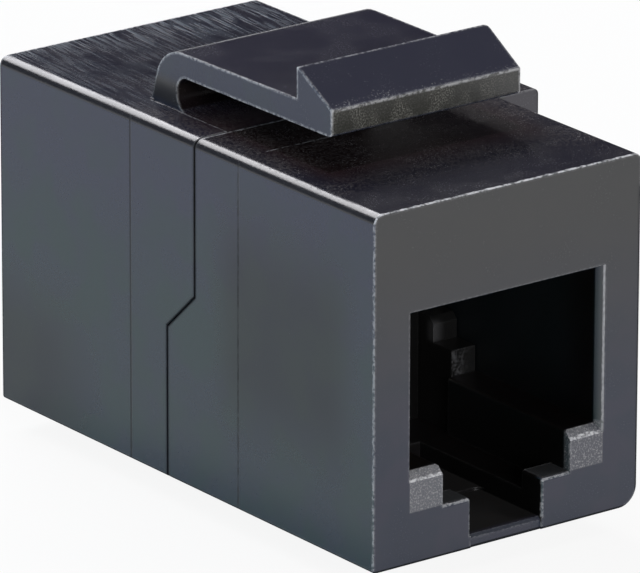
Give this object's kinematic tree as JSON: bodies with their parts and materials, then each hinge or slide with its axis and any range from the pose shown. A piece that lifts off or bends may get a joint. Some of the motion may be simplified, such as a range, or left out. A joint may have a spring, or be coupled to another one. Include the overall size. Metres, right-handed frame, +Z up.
{
  "type": "keystone jack",
  "caption": "Black in-line keystone coupler: a two-part moulded shell with a modular port at each end, a springy snap latch on top and a side stop ear.",
  "frame": {"origin": "middle of the shell's lower front edge, where its bottom plane meets the front port's face", "axes": "+Y from the front port to the rear port along the shell's length, +Z up towards the latch, +X to the right seen from the front"},
  "size_m": [0.0165, 0.0277, 0.0216],
  "materials": {
    "housing_plastic": "fine matt moulded",
    "insert_plastic": "smooth moulded",
    "board_laminate": "satin solder resist",
    "solder_tin": "bright solder",
    "contact_gold": "gold plated wire"
  },
  "bodies": {
    "root": {"front_housing": "housing_plastic", "rear_housing": "housing_plastic", "front_insert": "insert_plastic", "rear_insert": "insert_plastic", "circuit_board": "board_laminate", "solder_joints": "solder_tin", "front_contact_1": "contact_gold", "front_contact_2": "contact_gold", "front_contact_3": "contact_gold", "front_contact_4": "contact_gold", "front_contact_5": "contact_gold", "front_contact_6": "contact_gold", "rear_contact_1": "contact_gold", "rear_contact_2": "contact_gold", "rear_contact_3": "contact_gold", "rear_contact_4": "contact_gold", "rear_contact_5": "contact_gold", "rear_contact_6": "contact_gold"}
  },
  "joints": []
}
